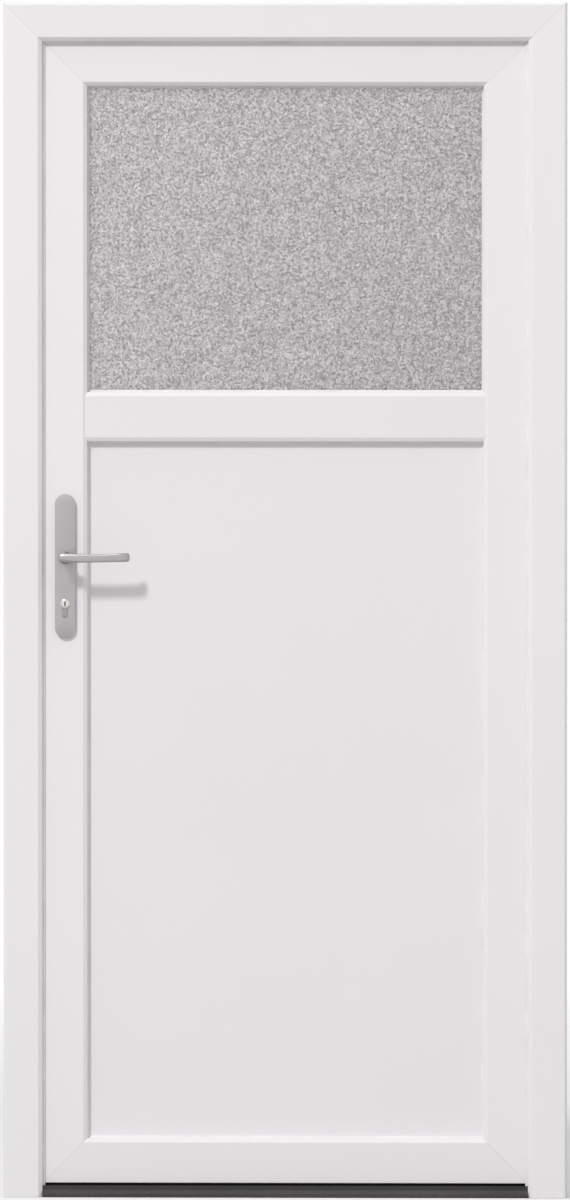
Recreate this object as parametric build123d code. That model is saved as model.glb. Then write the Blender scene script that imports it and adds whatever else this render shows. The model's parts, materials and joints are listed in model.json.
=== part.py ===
from build123d import *
import os

os.makedirs("parts", exist_ok=True)

# A plastic side door in its frame, closed. It opens into the house.
# X runs to the right as seen from outside, Y into the house and Z up, in millimetres.
# The origin is the middle of the threshold's underside, at half the frame's depth.

# Overall size
frame_width = 980
frame_height = 2080
frame_depth = 70

# Walls and hollow rooms of the plastic profiles
wall = 2.8
web = 1.5
small_room = 9

# Frame profile, measured inward from the frame's outer edge
frame_body = 48
frame_lip = 19
frame_bevel = 7
frame_bevel_rise = 6
lip_thickness = 13
outer_edge_radius = 5
edge_radius = 2.5
arris_radius = 1.2

# Wall anchor holes in the jambs
anchor_radius = 5.25
anchor_count = 4
anchor_from_floor = 250
anchor_from_top = 240

# Leaf profile, measured inward from the leaf's edge
leaf_air = 12
leaf_gap = 5
leaf_depth = 70
leaf_body = 65
glazing_leg = 20
leaf_bevel = 7
leaf_bevel_rise = 5.5
leg_thickness = 15
overlap_cover = 8
overlap_gap = 5
groove_width = 16
groove_depth = 3
groove_back = 21

# How the leaf meets the threshold
leaf_sink = 3
leaf_floor_gap = 5
overlap_floor_gap = 12

# Midrail
midrail_height = 1359.5
midrail_body = 46
midrail_setback = 2.5

# Threshold
threshold_height = 20
tread_drop = 1
rib_slope = 2
rib_gap = 1.5
rib_inset = 9.5
nose_height = 6
nose_slope = 6.5
base_height = 6
base_inset = 2
skirt_gap = 0.5
tread_wall = 2
tread_web = 2
tread_groove_width = 2
tread_groove_depth = 1
tread_groove_spacing = 6
tread_groove_count = 5
tread_groove_margin = 6

# Seals
seal_gap = 0.3
seal_lip = 1
frame_seal_base = 9
frame_seal_nose = 4.6
frame_seal_root = 2.8
leaf_seal_width = 5
leaf_seal_inset = 2
gasket_width = 12
gasket_nose = 3.5
gasket_depth = 4
brush_width = 6
brush_setback = 8
brush_end_gap = 5

# Glass unit and panel
pane = 4
unit_depth = 24
edge_cover = 15
spacer_width = 11
spacer_inset = 3

# Glazing beads
bead_flat = 10
bead_slope_width = 5
bead_slope_depth = 14
bead_corner = 3

# Lock and handle
handle_from_edge = 46.8
spindle_height = 1114
cylinder_drop = 80
handle_plate_length = 250
handle_plate_width = 37.5
handle_plate_depth = 8
handle_plate_drop = 139
handle_plate_edge = 2.5
spindle_width = 8
spindle_clearance = 1.5
lever_collar_radius = 10
lever_collar_length = 10
lever_running_gap = 0.4
collar_seat = 3
lever_projection = 50
lever_reach = 105
lever_height = 16
lever_thickness = 13
lever_bend = 14
lever_tip_bend = 9
lever_tip_return = 16
grip_bevel = 4
cylinder_radius = 8.5
cylinder_lobe_radius = 5
cylinder_total = 33
cylinder_proud = 3
cylinder_clearance = 0.4
lock_pocket_width = 24
lock_pocket_margin = 8
keyway_width = 2.4
keyway_height = 9
keyway_depth = 14
faceplate_length = 280
faceplate_side_gap = 0.3
latch_height = 34
bolt_height = 42
bolt_width = 10
bolt_proud = 2
bolt_nose = 1.2
strike_length = 200
strike_width = 24
strike_thickness = 2
strike_clearance = 2

# Hinges
hinge_from_end = 230
hinge_length = 90
hinge_axis_out = 8
hinge_axis_back = 12
knuckle_radius = 10.5
knuckle_middle = 40
knuckle_gap = 1
hinge_pin_radius = 5
hinge_pin_gap = 0.25
hinge_frame_plate = 32
hinge_frame_thickness = 4
hinge_leaf_plate = 62
hinge_leaf_thickness = 5
hinge_leaf_inset = 4
hinge_arm = 10
hinge_corner = 3

# A length past everything, for bars and cutters, and a cutter's way past a face
reach = 200
cut_past = 1

# Depths, from the outside to the room side
frame_front = -frame_depth / 2
frame_back = frame_depth / 2
lip_back = frame_front + lip_thickness
leaf_front = lip_back + leaf_gap
leaf_back = leaf_front + leaf_depth
overlap_front = frame_back + overlap_gap
leg_back = leaf_front + leg_thickness
unit_front = leg_back + gasket_depth
unit_back = unit_front + unit_depth
tread_top = threshold_height - tread_drop

# Edges as (left, bottom, right, top)
half_width = frame_width / 2
leaf_edge = frame_body + leaf_air
leaf_bottom = tread_top + leaf_floor_gap
frame_edges = (-half_width, -reach, half_width, frame_height)
leaf_edges = (
    leaf_edge - half_width,
    threshold_height - leaf_sink,
    half_width - leaf_edge,
    frame_height - leaf_edge,
)
leg_end = leaf_body + glazing_leg
bottom_rail_edge = leaf_bottom - leaf_edges[1]
bottom_rail_overlap = overlap_floor_gap - leaf_edges[1]
overlap_edge = frame_body - overlap_cover - leaf_edge
midrail_leg_end = midrail_body / 2 + glazing_leg
light_edges = (
    leaf_edges[0] + leg_end,
    midrail_height + midrail_leg_end,
    leaf_edges[2] - leg_end,
    leaf_edges[3] - leg_end,
)
panel_edges = (
    light_edges[0],
    leaf_edges[1] + leg_end,
    light_edges[2],
    midrail_height - midrail_leg_end,
)
handle_x = leaf_edges[0] + handle_from_edge
cylinder_height = spindle_height - cylinder_drop
leaf_middle = (leaf_front + leaf_back) / 2
hinge_x = leaf_edges[2] - overlap_edge + hinge_axis_out
hinge_y = leaf_back + hinge_axis_back
hinge_heights = {
    "bottom": hinge_from_end,
    "middle": frame_height / 2,
    "top": frame_height - hinge_from_end,
}
anchor_spacing = (frame_height - anchor_from_floor - anchor_from_top) / (anchor_count - 1)
groove_front = leaf_back - groove_back - groove_width

SIDES = ["left", "top", "right", "bottom"]


def corner_points(edges, inset):
    """The four corners of a rectangle seen from outside, set in from its edges."""
    left, bottom, right, top = edges
    return [
        (left + inset, bottom + inset),
        (left + inset, top - inset),
        (right - inset, top - inset),
        (right - inset, bottom + inset),
    ]


def prism(points, front=-reach, back=reach):
    """A solid with an outline seen from outside, from one depth to another."""
    face = make_face(Polyline(*[(x, front, z) for x, z in points], close=True))
    return extrude(face, back - front, dir=(0, 1, 0))


def block(x_low, x_high, y_low, y_high, z_low, z_high):
    """A box from its low and high places."""
    middle = ((x_low + x_high) / 2, (y_low + y_high) / 2, (z_low + z_high) / 2)
    return Pos(*middle) * Box(x_high - x_low, y_high - y_low, z_high - z_low)


def sheet(edges, grow, front, back):
    """A flat sheet that reaches past a rectangle by the same amount on each side."""
    return prism(corner_points(edges, -grow), front, back)


def side_plane(side, edges):
    """A member's section plane: local x runs inward from its edge, local y into the house."""
    left, bottom, right, top = edges
    planes = {
        "left": Plane((left, 0, bottom), x_dir=(1, 0, 0), z_dir=(0, 0, 1)),
        "top": Plane((left, 0, top), x_dir=(0, 0, -1), z_dir=(1, 0, 0)),
        "right": Plane((right, 0, top), x_dir=(-1, 0, 0), z_dir=(0, 0, -1)),
        "bottom": Plane((right, 0, bottom), x_dir=(0, 0, 1), z_dir=(-1, 0, 0)),
    }
    return planes[side]


def mitre_wedge(side, edges, outward, inward):
    """All that lies between a member's two mitres."""
    first = SIDES.index(side)
    second = (first + 1) % len(SIDES)
    outer = corner_points(edges, -outward)
    inner = corner_points(edges, inward)
    return prism([outer[first], outer[second], inner[second], inner[first]])


def member(face, side, edges, outward, inward):
    """One bar of a rectangle, cut to its mitres."""
    left, bottom, right, top = edges
    length = top - bottom if side in ("left", "right") else right - left
    plane = side_plane(side, edges)
    bar = extrude(plane * Pos(0, 0, -reach) * face, length + 2 * reach, dir=plane.z_dir)
    return bar & mitre_wedge(side, edges, outward, inward)


def ring(face, edges, outward, inward):
    """The four bars of a rectangle as one piece."""
    bars = [member(face, side, edges, outward, inward) for side in SIDES]
    return bars[0] + bars[1:]


def rooms_across(low_in, high_in, low_y, high_y, before, after):
    """Hollow rooms side by side: small ones outside, one large, small ones on the room side."""
    rooms = []
    front = low_y
    for _ in range(before):
        rooms.append((low_in, front, high_in, front + small_room))
        front += small_room + web
    back = high_y
    for _ in range(after):
        rooms.append((low_in, back - small_room, high_in, back))
        back -= small_room + web
    rooms.append((low_in, front, high_in, back))
    return rooms


def outline_face(corners):
    """A section from its corners as (inward, depth, radius)."""
    points = [(inward, depth) for inward, depth, _ in corners]
    radii = [radius for _, _, radius in corners]
    return make_face(FilletPolyline(*points, radius=radii, close=True))


def hollow_face(corners, rooms):
    """A profile's section: its outline less its hollow rooms."""
    face = outline_face(corners)
    for low_in, low_y, high_in, high_y in rooms:
        middle = Pos((low_in + high_in) / 2, (low_y + high_y) / 2)
        face -= middle * Rectangle(high_in - low_in, high_y - low_y)
    return face


def frame_section():
    """The frame's section, with the lip that the leaf closes against."""
    lip_end = frame_body + frame_lip
    corners = [
        (0, frame_front, outer_edge_radius),
        (lip_end - frame_bevel, frame_front, edge_radius),
        (lip_end, frame_front + frame_bevel_rise, arris_radius),
        (lip_end, lip_back, 0),
        (frame_body, lip_back, 0),
        (frame_body, frame_back, arris_radius),
        (0, frame_back, arris_radius),
    ]
    rooms = rooms_across(wall, frame_body - wall, frame_front + wall, frame_back - wall, 2, 1)
    rooms.append((frame_body, frame_front + wall, lip_end - frame_bevel, lip_back - wall))
    return hollow_face(corners, rooms)


def leaf_corners(edge, overlap):
    """The leaf's outline, from a chosen edge and a chosen end of its overlap."""
    return [
        (edge, leaf_front, arris_radius),
        (leg_end - leaf_bevel, leaf_front, edge_radius),
        (leg_end, leaf_front + leaf_bevel_rise, arris_radius),
        (leg_end, leg_back, 0),
        (leaf_body, leg_back, 0),
        (leaf_body, leaf_back, 0),
        (overlap, leaf_back, edge_radius),
        (overlap, overlap_front, arris_radius),
        (edge, overlap_front, 0),
        (edge, groove_front + groove_width, 0),
        (edge + groove_depth, groove_front + groove_width, 0),
        (edge + groove_depth, groove_front, 0),
        (edge, groove_front, 0),
    ]


def leaf_section(edge, overlap):
    """The leaf's hollow section."""
    room_in = edge + groove_depth + wall
    rooms = rooms_across(room_in, leaf_body - wall, leaf_front + wall, leaf_back - wall, 2, 1)
    rooms.append((leaf_body, leaf_front + wall, leg_end - leaf_bevel, leg_back - wall))
    rooms.append((overlap + wall, overlap_front + wall, edge + groove_depth, leaf_back - wall))
    return hollow_face(leaf_corners(edge, overlap), rooms)


def midrail_section():
    """The midrail's section: a leg each way outside, and a body between the two rebates."""
    front = leaf_front + midrail_setback
    bevel_back = leaf_front + leaf_bevel_rise
    half = midrail_body / 2
    flat = midrail_leg_end - leaf_bevel
    corners = [
        (-flat, front, edge_radius),
        (flat, front, edge_radius),
        (midrail_leg_end, bevel_back, arris_radius),
        (midrail_leg_end, leg_back, 0),
        (half, leg_back, 0),
        (half, leaf_back, 0),
        (-half, leaf_back, 0),
        (-half, leg_back, 0),
        (-midrail_leg_end, leg_back, 0),
        (-midrail_leg_end, bevel_back, arris_radius),
    ]
    rooms = rooms_across(wall - half, half - wall, front + wall, leaf_back - wall, 1, 1)
    rooms.append((half, front + wall, flat, leg_back - wall))
    rooms.append((-flat, front + wall, -half, leg_back - wall))
    return hollow_face(corners, rooms)


def rod(start, direction, radius, length):
    """A round bar from a point, along a direction."""
    return extrude(Plane(start, z_dir=direction) * Circle(radius), length)


def euro_face(grow):
    """The round-nosed lock profile, seen from outside, grown by a clearance."""
    lobe_drop = cylinder_total - cylinder_radius - cylinder_lobe_radius
    lobe_radius = cylinder_lobe_radius + grow
    nose = Circle(cylinder_radius + grow)
    lobe = Pos(0, -lobe_drop / 2) * Rectangle(2 * lobe_radius, lobe_drop)
    return nose + lobe + Pos(0, -lobe_drop) * Circle(lobe_radius)


def euro_bar(grow, front, back):
    """The lock profile as a bar from one depth to another."""
    plane = Plane((handle_x, back, cylinder_height), x_dir=(1, 0, 0), z_dir=(0, -1, 0))
    return extrude(plane * euro_face(grow), back - front)


def anchor_holes(side):
    """The row of wall anchor holes through a jamb."""
    start = -half_width - wall if side == "left" else half_width + wall
    direction = (1, 0, 0) if side == "left" else (-1, 0, 0)
    big_front = frame_front + wall + 2 * (small_room + web)
    big_back = frame_back - wall - small_room - web
    depth = (big_front + big_back) / 2
    heights = [anchor_from_floor + index * anchor_spacing for index in range(anchor_count)]
    return [rod((start, depth, z), direction, anchor_radius, frame_body + 2 * wall) for z in heights]


def frame_pieces():
    """The mitred head and the two jambs, cut square at the floor."""
    face = frame_section()
    lip_end = frame_body + frame_lip
    below = block(-reach - half_width, reach + half_width, -reach, reach, -2 * reach, 0)
    pieces = {}
    for name, side in (("frame_head", "top"), ("frame_jamb_lock", "left"), ("frame_jamb_hinge", "right")):
        piece = member(face, side, frame_edges, 0, lip_end)
        if side != "top":
            piece = piece - below - anchor_holes(side)
        pieces[name] = piece
    return pieces


def frame_seal():
    """The seal along the back of the lip, on the head and both jambs."""
    lip_end = frame_body + frame_lip
    root = lip_end - frame_seal_base
    nose_back = leaf_front - seal_gap
    corners = [
        (root, lip_back, 0),
        (lip_end, lip_back, 0),
        (lip_end + frame_seal_nose, lip_back + frame_seal_root - seal_lip, 0),
        (lip_end + frame_seal_nose, nose_back, 0),
        (lip_end, nose_back - seal_lip, 0),
        (root, lip_back + frame_seal_root, 0),
    ]
    face = outline_face(corners)
    below = block(-half_width, half_width, -reach, reach, -2 * reach, threshold_height)
    inward = lip_end + frame_seal_nose
    bars = [member(face, side, frame_edges, 0, inward) for side in ("top", "left", "right")]
    return bars[0] + bars[1:] - below


def threshold():
    """The aluminium sill: nose, rib and grooved tread over a hollow body."""
    rib_back = leaf_front - rib_slope - rib_gap
    corners = [
        (frame_front, skirt_gap),
        (frame_front, nose_height),
        (frame_front + rib_inset - rib_slope, nose_height + nose_slope),
        (frame_front + rib_inset, threshold_height),
        (rib_back, threshold_height),
        (rib_back + tread_drop, tread_top),
        (frame_back, tread_top),
        (frame_back, base_height),
        (frame_front + base_inset, base_height),
        (frame_front + base_inset, skirt_gap),
    ]
    section = make_face(Polyline(*corners, close=True))
    room_front = frame_front + rib_inset + tread_wall
    room_back = frame_back - tread_wall
    room_width = (room_back - room_front - tread_web) / 2
    room_height = tread_top - tread_wall - tread_groove_depth - base_height - tread_wall
    room_middle = base_height + tread_wall + room_height / 2
    for start in (room_front, room_front + room_width + tread_web):
        section -= Pos(start + room_width / 2, room_middle) * Rectangle(room_width, room_height)
    for index in range(tread_groove_count):
        depth = frame_back - tread_groove_margin - index * tread_groove_spacing
        groove = Rectangle(tread_groove_width, 2 * tread_groove_depth)
        section -= Pos(depth, tread_top) * groove
    half_length = half_width - leaf_edge
    plane = Plane((-half_length, 0, 0), x_dir=(0, 1, 0), z_dir=(1, 0, 0))
    bar = extrude(plane * section, 2 * half_length)
    front_end = half_width - frame_body - frame_lip
    for x_low, x_high in ((-half_length, -front_end), (front_end, half_length)):
        bar -= block(x_low, x_high, frame_front, lip_back, 0, threshold_height)
    return bar


def threshold_base():
    """The plastic base under the sill, which rests on the floor."""
    front_end = half_width - frame_body - frame_lip
    half_length = half_width - leaf_edge
    wide = block(-half_length, half_length, lip_back, frame_back, 0, base_height)
    front = block(-front_end, front_end, frame_front + base_inset, lip_back, 0, base_height)
    return wide + front


def threshold_ends():
    """The two blocks that join the sill to the jambs."""
    inner, outer = half_width - leaf_edge, half_width - frame_body
    right = block(inner, outer, lip_back, frame_back, 0, tread_top)
    return right + mirror(right, about=Plane.YZ)


def strike_plate():
    """The plate in the lock jamb that takes the latch and the bolt."""
    x_low = frame_body - half_width
    middle = groove_front + groove_width / 2
    centre = (spindle_height + cylinder_height) / 2
    plate = block(x_low, x_low + strike_thickness, middle - strike_width / 2, frame_back,
                  centre - strike_length / 2, centre + strike_length / 2)
    half_gap = bolt_width / 2 + strike_clearance
    for height, size in bolt_places():
        half_size = size / 2 + strike_clearance
        plate -= block(x_low - cut_past, x_low + strike_thickness + cut_past,
                       middle - half_gap, middle + half_gap, height - half_size, height + half_size)
    return plate


def lock_cutters():
    """The spindle hole, the cylinder hole and the pocket milled inside the lock stile for the lock."""
    spindle_hole = spindle_width / 2 ** 0.5 + spindle_clearance
    start = (handle_x, leaf_front - wall, spindle_height)
    hole = rod(start, (0, 1, 0), spindle_hole, leaf_depth + 2 * wall)
    half = lock_pocket_width / 2
    pocket_low = cylinder_height + cylinder_radius - cylinder_total - lock_pocket_margin
    pocket_high = spindle_height + spindle_hole + lock_pocket_margin
    pocket = block(handle_x - half, handle_x + half, leaf_front + wall, leaf_back - wall,
                   pocket_low, pocket_high)
    return [hole, euro_bar(cylinder_clearance, leaf_front - wall, leaf_back + wall), pocket]


def leaf_pieces():
    """The four mitred members of the leaf, milled to clear the threshold."""
    low = block(-half_width, half_width, -reach, overlap_front, -reach, leaf_bottom)
    low_overlap = block(-half_width, half_width, overlap_front, reach, -reach, overlap_floor_gap)
    stile_face = leaf_section(0, overlap_edge)
    rail_face = leaf_section(bottom_rail_edge, bottom_rail_overlap)
    outward = -overlap_edge
    lock = member(stile_face, "left", leaf_edges, outward, leg_end) - low - low_overlap
    hinge = member(stile_face, "right", leaf_edges, outward, leg_end) - low - low_overlap
    return {
        "leaf_stile_lock": lock - lock_cutters(),
        "leaf_stile_hinge": hinge,
        "leaf_top_rail": member(stile_face, "top", leaf_edges, outward, leg_end),
        "leaf_bottom_rail": member(rail_face, "bottom", leaf_edges, outward, leg_end),
    }


def leaf_midrail():
    """The rail between glass and panel, coped over the stiles."""
    half_length = leaf_edges[2] - leaf_body
    plane = Plane((half_length, 0, midrail_height), x_dir=(0, 0, 1), z_dir=(-1, 0, 0))
    rail = extrude(plane * midrail_section(), 2 * half_length, dir=(-1, 0, 0))
    stile = outline_face(leaf_corners(0, overlap_edge))
    for side in ("left", "right"):
        rail -= member(stile, side, leaf_edges, -overlap_edge, leg_end)
    return rail


def outer_gasket(edges):
    """The outside seal round a pane, with a nose that shows past the leg."""
    corners = [
        (-gasket_width, leg_back, 0),
        (0, leg_back, 0),
        (gasket_nose, unit_front - seal_lip, 0),
        (gasket_nose, unit_front, 0),
        (-gasket_width, unit_front, 0),
    ]
    return ring(outline_face(corners), edges, gasket_width, gasket_nose)


def beads(prefix, edges):
    """The four mitred beads that hold a pane from the room side."""
    slope_back = unit_back + bead_flat + bead_slope_depth
    corners = [
        (-glazing_leg, unit_back, 0),
        (0, unit_back, 0),
        (0, unit_back + bead_flat, arris_radius),
        (-bead_slope_width, slope_back, arris_radius),
        (-bead_slope_width - bead_corner, leaf_back, arris_radius),
        (-glazing_leg, leaf_back, 0),
    ]
    face = outline_face(corners)
    names = {"top": "top", "bottom": "bottom", "lock": "left", "hinge": "right"}
    return {
        f"{prefix}_bead_{name}": member(face, side, edges, glazing_leg, gasket_nose)
        for name, side in names.items()
    }


def glass_pieces():
    """The sealed unit: two panes and the spacer between them."""
    corners = [
        (-edge_cover + spacer_inset, unit_front + pane, 0),
        (-edge_cover + spacer_inset + spacer_width, unit_front + pane, 0),
        (-edge_cover + spacer_inset + spacer_width, unit_back - pane, 0),
        (-edge_cover + spacer_inset, unit_back - pane, 0),
    ]
    return {
        "glass_outer": sheet(light_edges, edge_cover, unit_front, unit_front + pane),
        "glass_inner": sheet(light_edges, edge_cover, unit_back - pane, unit_back),
        "glass_spacer": ring(outline_face(corners), light_edges, edge_cover, 0),
    }


def leaf_seal():
    """The room-side seal on the leaf's overlap, clear of the frame's face."""
    left, _, right, top = leaf_edges
    inset = overlap_edge + leaf_seal_inset
    edges = (left + inset, overlap_floor_gap + leaf_seal_inset / 2, right - inset, top - inset)
    corners = [
        (0, overlap_front, 0),
        (seal_lip, frame_back + seal_gap, 0),
        (leaf_seal_width - seal_lip, frame_back + seal_gap, 0),
        (leaf_seal_width, overlap_front, 0),
    ]
    return ring(outline_face(corners), edges, 0, leaf_seal_width)


def bottom_seal():
    """The brush under the leaf, clear of the tread."""
    half_length = leaf_edges[2] - brush_end_gap
    front = leaf_front + brush_setback
    return block(-half_length, half_length, front, front + brush_width, tread_top + seal_gap, leaf_bottom)


def bolt_places():
    """The height and the length of the latch and of the bolt."""
    return [(spindle_height, latch_height), (cylinder_height - latch_height, bolt_height)]


def lock_faceplate():
    """The plate in the groove of the leaf's edge, with openings for latch and bolt."""
    x_low = leaf_edges[0]
    front = groove_front + faceplate_side_gap
    back = groove_front + groove_width - faceplate_side_gap
    centre = (spindle_height + cylinder_height) / 2
    plate = block(x_low, x_low + groove_depth, front, back,
                  centre - faceplate_length / 2, centre + faceplate_length / 2)
    for height, size in bolt_places():
        half_gap = bolt_width / 2 + faceplate_side_gap
        half_size = size / 2 + faceplate_side_gap
        middle = groove_front + groove_width / 2
        plate -= block(x_low - cut_past, x_low + groove_depth, middle - half_gap, middle + half_gap,
                       height - half_size, height + half_size)
    return plate


def lock_bolts():
    """The latch and the bolt, both drawn back, with softened noses."""
    x_low = leaf_edges[0] - bolt_proud
    middle = groove_front + groove_width / 2
    pieces = []
    for height, size in bolt_places():
        bolt = block(x_low, leaf_edges[0] + groove_depth, middle - bolt_width / 2, middle + bolt_width / 2,
                     height - size / 2, height + size / 2)
        nose = bolt.faces().sort_by(Axis.X)[0]
        pieces.append(chamfer(nose.edges(), bolt_nose))
    return pieces[0] + pieces[1]


def handle_plate(face_depth, outward):
    """A long plate with round ends, seated on one face of the leaf."""
    height = spindle_height - handle_plate_drop + handle_plate_length / 2
    plane = Plane((handle_x, face_depth, height), x_dir=(1, 0, 0), z_dir=(0, outward, 0))
    slot = SlotOverall(handle_plate_length, handle_plate_width, rotation=90)
    plate = extrude(plane * slot, handle_plate_depth)
    outer = plate.faces().sort_by(Axis.Y)[0 if outward < 0 else -1]
    plate = chamfer(outer.edges(), handle_plate_edge)
    bore = rod((handle_x, face_depth - outward * cut_past, spindle_height), (0, outward, 0),
               lever_collar_radius + lever_running_gap, handle_plate_depth + 2 * cut_past)
    front = min(face_depth, face_depth + outward * handle_plate_depth) - cut_past
    back = max(face_depth, face_depth + outward * handle_plate_depth) + cut_past
    return plate - bore - euro_bar(cylinder_clearance, front, back)


def lock_cylinder():
    """The lock cylinder, through plates and stile, with a keyway at each end."""
    front = leaf_front - handle_plate_depth - cylinder_proud
    back = leaf_back + handle_plate_depth + cylinder_proud
    body = euro_bar(0, front, back)
    half = keyway_width / 2
    for y_low, y_high in ((front, front + keyway_depth), (back - keyway_depth, back)):
        body -= block(handle_x - half, handle_x + half, y_low, y_high,
                      cylinder_height - keyway_height / 2, cylinder_height + keyway_height / 2)
    return body


def grip_face(x, y, direction):
    """The lever's section, square to a direction, with broad bevels on its outer side."""
    flat = Rectangle(lever_height, lever_thickness)
    outer_corners = flat.vertices().sort_by(Axis.Y)[2:]
    plane = Plane((x, y, spindle_height), x_dir=(0, 0, 1), z_dir=direction)
    return plane * chamfer(outer_corners, grip_bevel)


def grip_bend(x, y, direction, radius):
    """A quarter bend of the lever that turns its section to the left, seen from above."""
    way = Vector(*direction)
    centre = Vector(x, y, spindle_height) + Vector(-way.Y, way.X, 0) * radius
    return revolve(grip_face(x, y, direction), Axis(centre, (0, 0, 1)), 90)


def lever_outer():
    """The outside lever: a collar in the plate, a neck, a bend and a grip with a turned-in tip."""
    collar_back = leaf_front - collar_seat
    collar_start = (handle_x, collar_back, spindle_height)
    collar = rod(collar_start, (0, -1, 0), lever_collar_radius, lever_collar_length)
    grip_depth = leaf_front - lever_projection
    neck_start = collar_back - lever_collar_length
    neck_end = grip_depth + lever_bend
    grip_start = handle_x + lever_bend
    tip_x = handle_x + lever_reach
    grip_end = tip_x - lever_tip_bend
    tip_start = grip_depth + lever_tip_bend
    lengths = [
        extrude(grip_face(handle_x, neck_start, (0, -1, 0)), neck_start - neck_end),
        grip_bend(handle_x, neck_end, (0, -1, 0), lever_bend),
        extrude(grip_face(grip_start, grip_depth, (1, 0, 0)), grip_end - grip_start),
        grip_bend(grip_end, grip_depth, (1, 0, 0), lever_tip_bend),
        extrude(grip_face(tip_x, tip_start, (0, 1, 0)), lever_tip_return - lever_tip_bend),
    ]
    return collar + lengths


def lever_inner():
    """The room-side lever, the outside one mirrored through the leaf."""
    return mirror(lever_outer(), about=Plane((0, leaf_middle, 0), z_dir=(0, 1, 0)))


def spindle():
    """The square bar between the two levers."""
    half = spindle_width / 2
    return block(handle_x - half, handle_x + half, leaf_front - collar_seat, leaf_back + collar_seat,
                 spindle_height - half, spindle_height + half)


def hinge_frame_part(height):
    """The frame's half of a hinge: plate, two arms and knuckles, and the pin."""
    half = hinge_length / 2
    plate_low = hinge_x - hinge_arm / 4
    plate = block(plate_low, plate_low + hinge_frame_plate, frame_back, frame_back + hinge_frame_thickness,
                  height - half, height + half)
    part = chamfer(plate.edges().filter_by(Axis.Y), hinge_corner)
    inner = knuckle_middle / 2
    for low, high in ((height - half, height - inner), (height + inner, height + half)):
        arm = block(hinge_x, hinge_x + hinge_arm, frame_back, hinge_y, low, high)
        knuckle = rod((hinge_x, hinge_y, low), (0, 0, 1), knuckle_radius, high - low)
        part = part + arm + knuckle
    return part + rod((hinge_x, hinge_y, height - inner), (0, 0, 1), hinge_pin_radius, 2 * inner)


def hinge_leaf_part(height):
    """The leaf's half of a hinge: plate, arm and the bored middle knuckle."""
    half = hinge_length / 2
    plate_high = leaf_edges[2] - overlap_edge - hinge_leaf_inset
    plate = block(plate_high - hinge_leaf_plate, plate_high, leaf_back, leaf_back + hinge_leaf_thickness,
                  height - half, height + half)
    plate = chamfer(plate.edges().filter_by(Axis.Y), hinge_corner)
    inner = knuckle_middle / 2 - knuckle_gap
    arm = block(plate_high - hinge_corner * 2, hinge_x, leaf_back, leaf_back + 2 * hinge_leaf_thickness,
                height - inner, height + inner)
    knuckle = rod((hinge_x, hinge_y, height - inner), (0, 0, 1), knuckle_radius, 2 * inner)
    bore = rod((hinge_x, hinge_y, height - half), (0, 0, 1), hinge_pin_radius + hinge_pin_gap, hinge_length)
    return plate + arm + knuckle - bore


def door():
    """Every piece by name."""
    pieces = frame_pieces()
    pieces["frame_seal"] = frame_seal()
    pieces["threshold"] = threshold()
    pieces["threshold_base"] = threshold_base()
    pieces["threshold_ends"] = threshold_ends()
    pieces["strike_plate"] = strike_plate()
    pieces.update(leaf_pieces())
    pieces["leaf_midrail"] = leaf_midrail()
    pieces.update(glass_pieces())
    pieces["glass_seal"] = outer_gasket(light_edges)
    pieces.update(beads("glass", light_edges))
    pieces["panel"] = sheet(panel_edges, edge_cover, unit_front, unit_back)
    pieces["panel_seal"] = outer_gasket(panel_edges)
    pieces.update(beads("panel", panel_edges))
    pieces["leaf_seal"] = leaf_seal()
    pieces["bottom_seal"] = bottom_seal()
    pieces["lock_faceplate"] = lock_faceplate()
    pieces["lock_bolts"] = lock_bolts()
    pieces["handle_plate_outer"] = handle_plate(leaf_front, -1)
    pieces["handle_plate_inner"] = handle_plate(leaf_back, 1)
    pieces["lock_cylinder"] = lock_cylinder()
    pieces["lever_outer"] = lever_outer()
    pieces["lever_inner"] = lever_inner()
    pieces["spindle"] = spindle()
    for name, height in hinge_heights.items():
        pieces[f"hinge_{name}_frame_part"] = hinge_frame_part(height)
        pieces[f"hinge_{name}_leaf_part"] = hinge_leaf_part(height)
    return pieces


for node, piece in door().items():
    export_step(piece, f"parts/{node}.step")
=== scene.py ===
import json
import math
import random

import bmesh
import bpy
from bpy.props import FloatProperty, FloatVectorProperty, IntProperty, PointerProperty
from mathutils import Matrix, Vector


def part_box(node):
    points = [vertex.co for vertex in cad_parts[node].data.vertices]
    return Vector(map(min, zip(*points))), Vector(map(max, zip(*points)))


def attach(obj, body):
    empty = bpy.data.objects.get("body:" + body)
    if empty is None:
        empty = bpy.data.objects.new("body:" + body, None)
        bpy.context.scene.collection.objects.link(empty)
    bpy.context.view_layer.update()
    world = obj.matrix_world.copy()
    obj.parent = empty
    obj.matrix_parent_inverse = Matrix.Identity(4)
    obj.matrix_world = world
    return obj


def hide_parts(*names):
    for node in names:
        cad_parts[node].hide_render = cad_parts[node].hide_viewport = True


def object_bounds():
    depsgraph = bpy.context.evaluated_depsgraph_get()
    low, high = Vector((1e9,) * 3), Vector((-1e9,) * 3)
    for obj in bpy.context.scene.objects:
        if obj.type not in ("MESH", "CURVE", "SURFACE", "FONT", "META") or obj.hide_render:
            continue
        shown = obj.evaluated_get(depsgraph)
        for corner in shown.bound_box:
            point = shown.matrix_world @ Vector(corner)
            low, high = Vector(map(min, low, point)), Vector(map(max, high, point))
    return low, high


bl_info = {
    "name": "Plastic side door",
    "version": (1, 0, 0),
    "blender": (4, 5, 0),
    "location": "View3D > Sidebar > Side door",
    "description": "Finishes and fittings of a white plastic side door in its frame",
    "category": "Object",
}

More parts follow.
